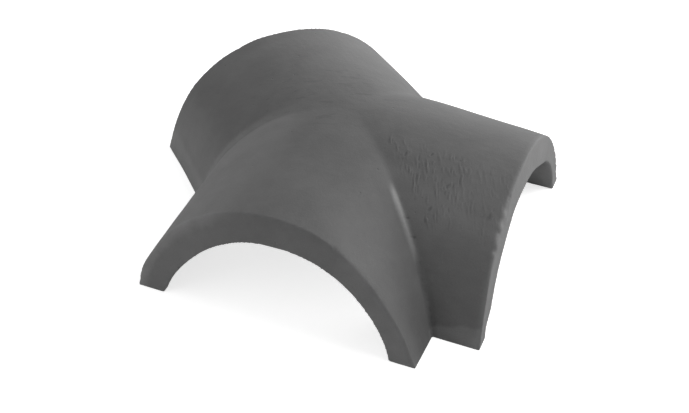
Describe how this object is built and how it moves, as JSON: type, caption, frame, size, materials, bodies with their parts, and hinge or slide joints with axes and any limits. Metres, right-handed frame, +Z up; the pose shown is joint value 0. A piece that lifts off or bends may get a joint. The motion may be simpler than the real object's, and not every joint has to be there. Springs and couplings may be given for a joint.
{
  "type": "three-way ridge tile",
  "caption": "Three-way ridge tile: round barrel arms meet under a groined crown and cap the point where a roof's ridge meets its hips.",
  "frame": {"origin": "on the floor plane, under the middle of the tile's bounding box", "axes": "+Z up from the feet; +Y along the ridge arm; the hip arms point to -X -Y and +X -Y"},
  "size_m": [0.4062, 0.362, 0.115],
  "materials": {
    "concrete": "smooth dark grey slurry-coated concrete, matt"
  },
  "bodies": {
    "root": {"three_way_ridge_tile": "concrete"}
  },
  "joints": []
}
